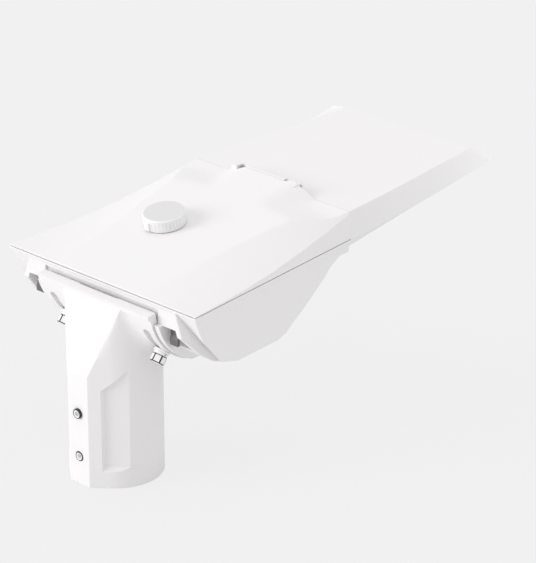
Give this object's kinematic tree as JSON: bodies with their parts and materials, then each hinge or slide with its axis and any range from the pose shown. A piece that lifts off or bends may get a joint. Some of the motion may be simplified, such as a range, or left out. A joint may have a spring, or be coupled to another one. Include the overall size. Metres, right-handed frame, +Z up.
{
  "type": "street light",
  "caption": "Pole-top LED street light: cast spigot with tilt joint, flat tapered head, hinged rear cover with rear catches, and a twist-off socket cap.",
  "frame": {"origin": "centre of the mouth of the pole tube", "axes": "+Z up the pole tube's axis, +X towards the tip of the light head"},
  "size_m": [0.4701, 0.2444, 0.2353],
  "materials": {
    "white_paint": "satin white powder coat on die-cast aluminium",
    "steel": "stainless steel",
    "sheet": "plain sheet and extruded aluminium",
    "seal_rubber": "dark silicone rubber",
    "black_plastic": "black glass-filled plastic",
    "white_plastic": "white plastic",
    "cap_plastic": "white moulded plastic",
    "grey_plastic": "grey moulded plastic",
    "board": "white solder mask on an aluminium board",
    "led_yellow": "yellow phosphor under clear silicone",
    "lens": "clear moulded acrylic lenses",
    "glass": "flat clear glass"
  },
  "bodies": {
    "mount": {"mounting_piece": "white_paint", "set_screws": "steel"},
    "housing": {"main_housing": "white_paint", "tilt_bolts": "steel", "saddle_washers": "steel", "spring_washers": "steel", "hinge_pin": "steel", "cover_gasket": "seal_rubber", "latch_axles": "steel", "latch_springs": "steel", "gear_plate": "sheet", "gear_screws": "steel", "driver": "sheet", "driver_screws": "steel", "terminal_block": "white_plastic", "surge_protector": "grey_plastic", "cable_clamp": "black_plastic", "clamp_screws": "steel", "cable_gland": "black_plastic", "gland_nut": "black_plastic", "breather": "black_plastic", "wire_grommet": "seal_rubber", "led_board": "board", "board_screws": "steel", "led_packages": "led_yellow", "lens_plate": "lens", "optic_glass": "glass", "glass_gasket": "seal_rubber", "glass_frame": "white_paint", "frame_screws": "steel"},
    "lid": {"cover": "white_paint", "control_socket": "white_plastic", "socket_gasket": "seal_rubber", "socket_nut": "white_plastic"},
    "cap": {"dust_cap": "cap_plastic", "cap_seal": "seal_rubber"},
    "catch_left": {"latch_left": "black_plastic"},
    "catch_right": {"latch_right": "black_plastic"}
  },
  "joints": [
    {"name": "tilt", "type": "hinge", "parent": "mount", "child": "housing", "pos_m": [0.047, 0, 0.196], "axis": [0, 1, 0], "range_deg": [0, 24]},
    {"name": "cover_open", "type": "hinge", "parent": "housing", "child": "lid", "pos_m": [0.215, 0, 0.2294], "axis": [0, 1, 0], "range_deg": [0, 95]},
    {"name": "cap_twist", "type": "hinge", "parent": "lid", "child": "cap", "pos_m": [0.0885, 0.02, 0.21582], "axis": [-0.1547, 0, 0.988], "range_deg": [0, 35]},
    {"name": "catch_left_swing", "type": "hinge", "parent": "housing", "child": "catch_left", "pos_m": [-0.005, -0.088, 0.17], "axis": [0, -1, 0], "range_deg": [0, 16], "stiffness_Nm_per_rad": 0.02},
    {"name": "catch_right_swing", "type": "hinge", "parent": "housing", "child": "catch_right", "pos_m": [-0.005, 0.088, 0.17], "axis": [0, -1, 0], "range_deg": [0, 16], "stiffness_Nm_per_rad": 0.02}
  ]
}
